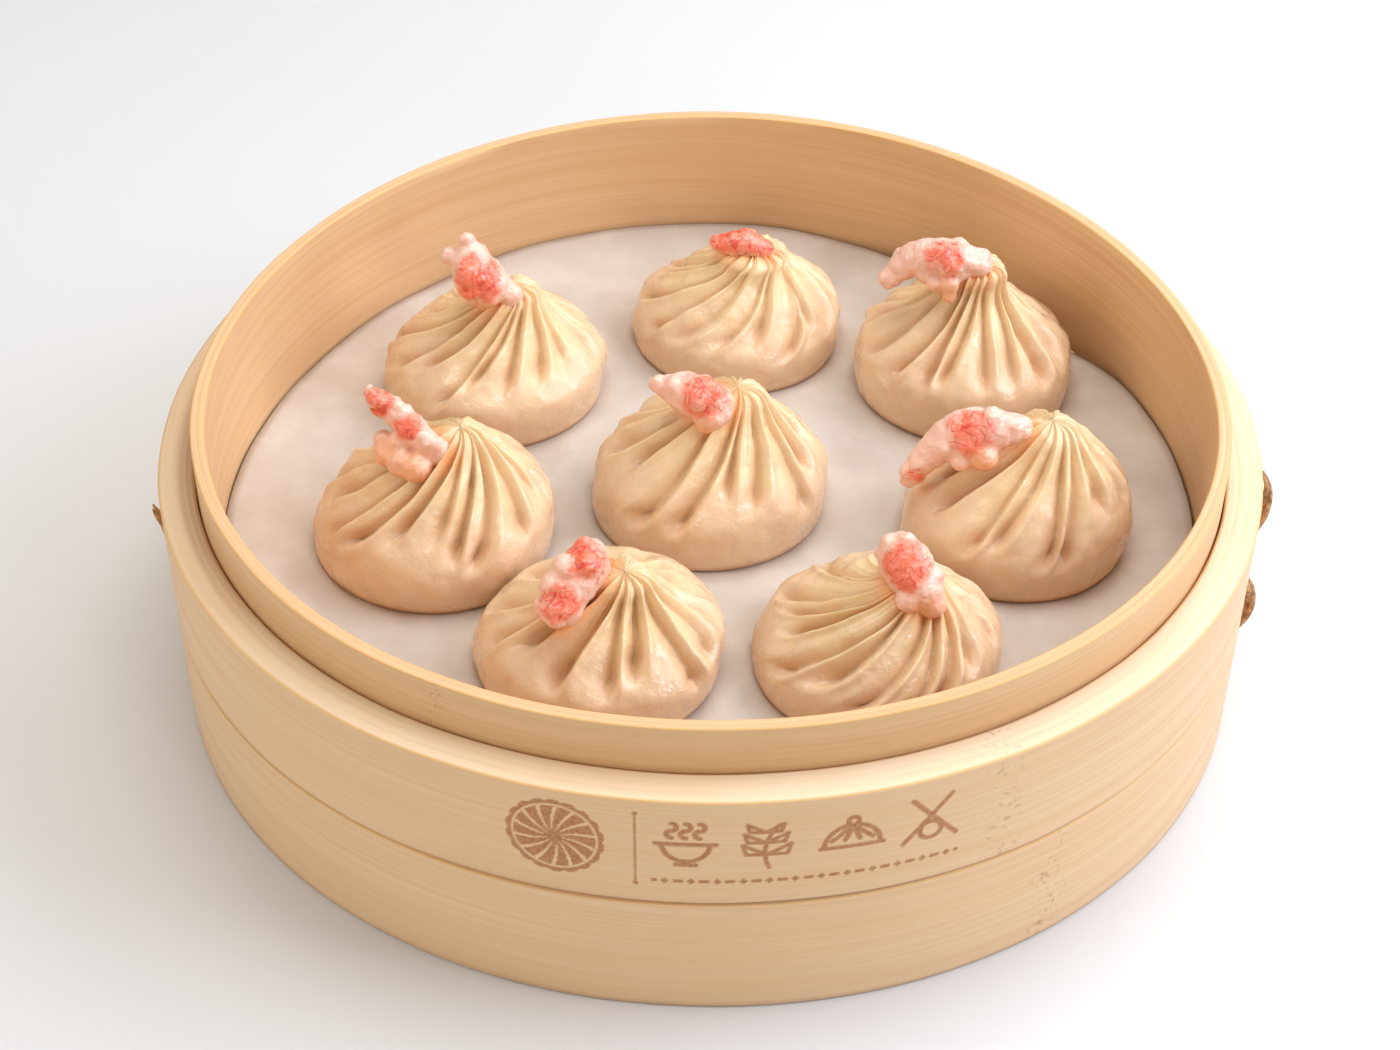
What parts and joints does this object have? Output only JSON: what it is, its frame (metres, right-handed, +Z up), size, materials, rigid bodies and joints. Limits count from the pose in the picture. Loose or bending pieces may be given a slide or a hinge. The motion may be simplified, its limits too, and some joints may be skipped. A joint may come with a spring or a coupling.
{
  "type": "xiaolongbao soup dumplings in a bamboo steamer basket",
  "caption": "Round bamboo steamer basket with a slatted floor and paper liner, holding pleated soup dumplings, each topped with a lump of pink and white crab meat.",
  "frame": {"origin": "on the table, under the middle of the basket's bounding box", "axes": "+Z up; -Y towards the side with the printed mark, nearest the viewer; +X to the viewer's right"},
  "size_m": [0.231, 0.224, 0.0718],
  "materials": {
    "bamboo": "smooth bent bamboo strip, unvarnished",
    "baking_paper": "matt baking paper",
    "steamed_dough": "moist steamed dough, translucent",
    "crab_meat": "moist pink and white crab meat",
    "cane": "dry rattan cane"
  },
  "bodies": {
    "root": {"inner_hoop": "bamboo", "upper_band": "bamboo", "lower_band": "bamboo", "floor_ledge": "bamboo", "floor_bar_1": "bamboo", "floor_bar_2": "bamboo", "floor_slat_1": "bamboo", "floor_slat_2": "bamboo", "floor_slat_3": "bamboo", "floor_slat_4": "bamboo", "floor_slat_5": "bamboo", "floor_slat_6": "bamboo", "floor_slat_7": "bamboo", "floor_slat_8": "bamboo", "floor_slat_9": "bamboo", "paper_liner": "baking_paper", "dumpling_1": "steamed_dough", "dumpling_2": "steamed_dough", "dumpling_3": "steamed_dough", "dumpling_4": "steamed_dough", "dumpling_5": "steamed_dough", "dumpling_6": "steamed_dough", "dumpling_7": "steamed_dough", "dumpling_8": "steamed_dough", "crab_topping_1": "crab_meat", "crab_topping_2": "crab_meat", "crab_topping_3": "crab_meat", "crab_topping_4": "crab_meat", "crab_topping_5": "crab_meat", "crab_topping_6": "crab_meat", "crab_topping_7": "crab_meat", "crab_topping_8": "crab_meat", "cane_tie_right_upper": "cane", "cane_tie_right_lower": "cane", "cane_tie_left": "cane"}
  },
  "joints": []
}
